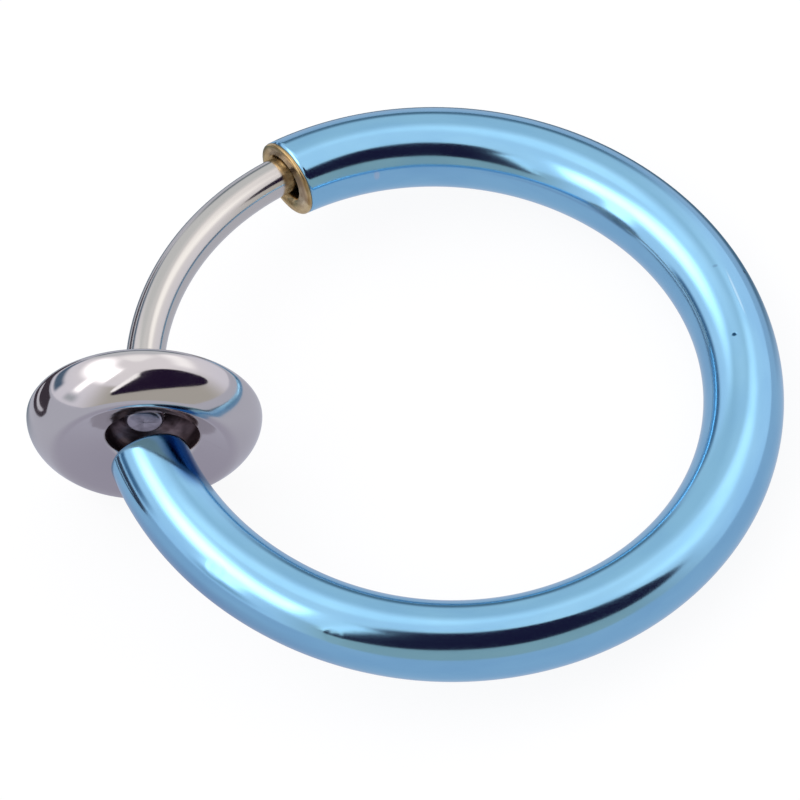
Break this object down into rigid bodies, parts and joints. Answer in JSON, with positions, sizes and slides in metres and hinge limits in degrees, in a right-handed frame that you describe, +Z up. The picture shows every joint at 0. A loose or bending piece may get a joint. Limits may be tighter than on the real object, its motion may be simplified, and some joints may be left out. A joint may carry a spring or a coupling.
{
  "type": "clip-on nose ring",
  "caption": "Clip-on hoop: a blue plated tube bent to an arc, with a sprung steel rod in its open mouth that carries a domed disc facing the tube's closed lower end.",
  "frame": {"origin": "on the surface that the ring rests on, below the middle of its bounding box", "axes": "+Z up from that surface, +X from the clip disc across the ring to the far side of the tube, +Y towards the side where the tube's mouth is"},
  "size_m": [0.0166, 0.015, 0.0052],
  "materials": {
    "blue_plating": "mirror-bright blue electroplating over brass",
    "bare_brass": "bare, slightly dulled brass",
    "polished_rod": "polished bright",
    "polished_disc": "mirror-polished bright plating"
  },
  "bodies": {
    "hoop": {"hoop_tube": "blue_plating", "mouth_collar": "bare_brass"},
    "clip": {"slide_rod": "polished_rod", "clip_disc": "polished_disc"}
  },
  "joints": [
    {"name": "clip_slide", "type": "hinge", "parent": "hoop", "child": "clip", "pos_m": [0.00087, 0.00023, 0.00173], "axis": [-0.1282, 0, -0.9917], "range_deg": [0, 45], "stiffness_Nm_per_rad": 0.002, "springref_deg": -20.05}
  ]
}
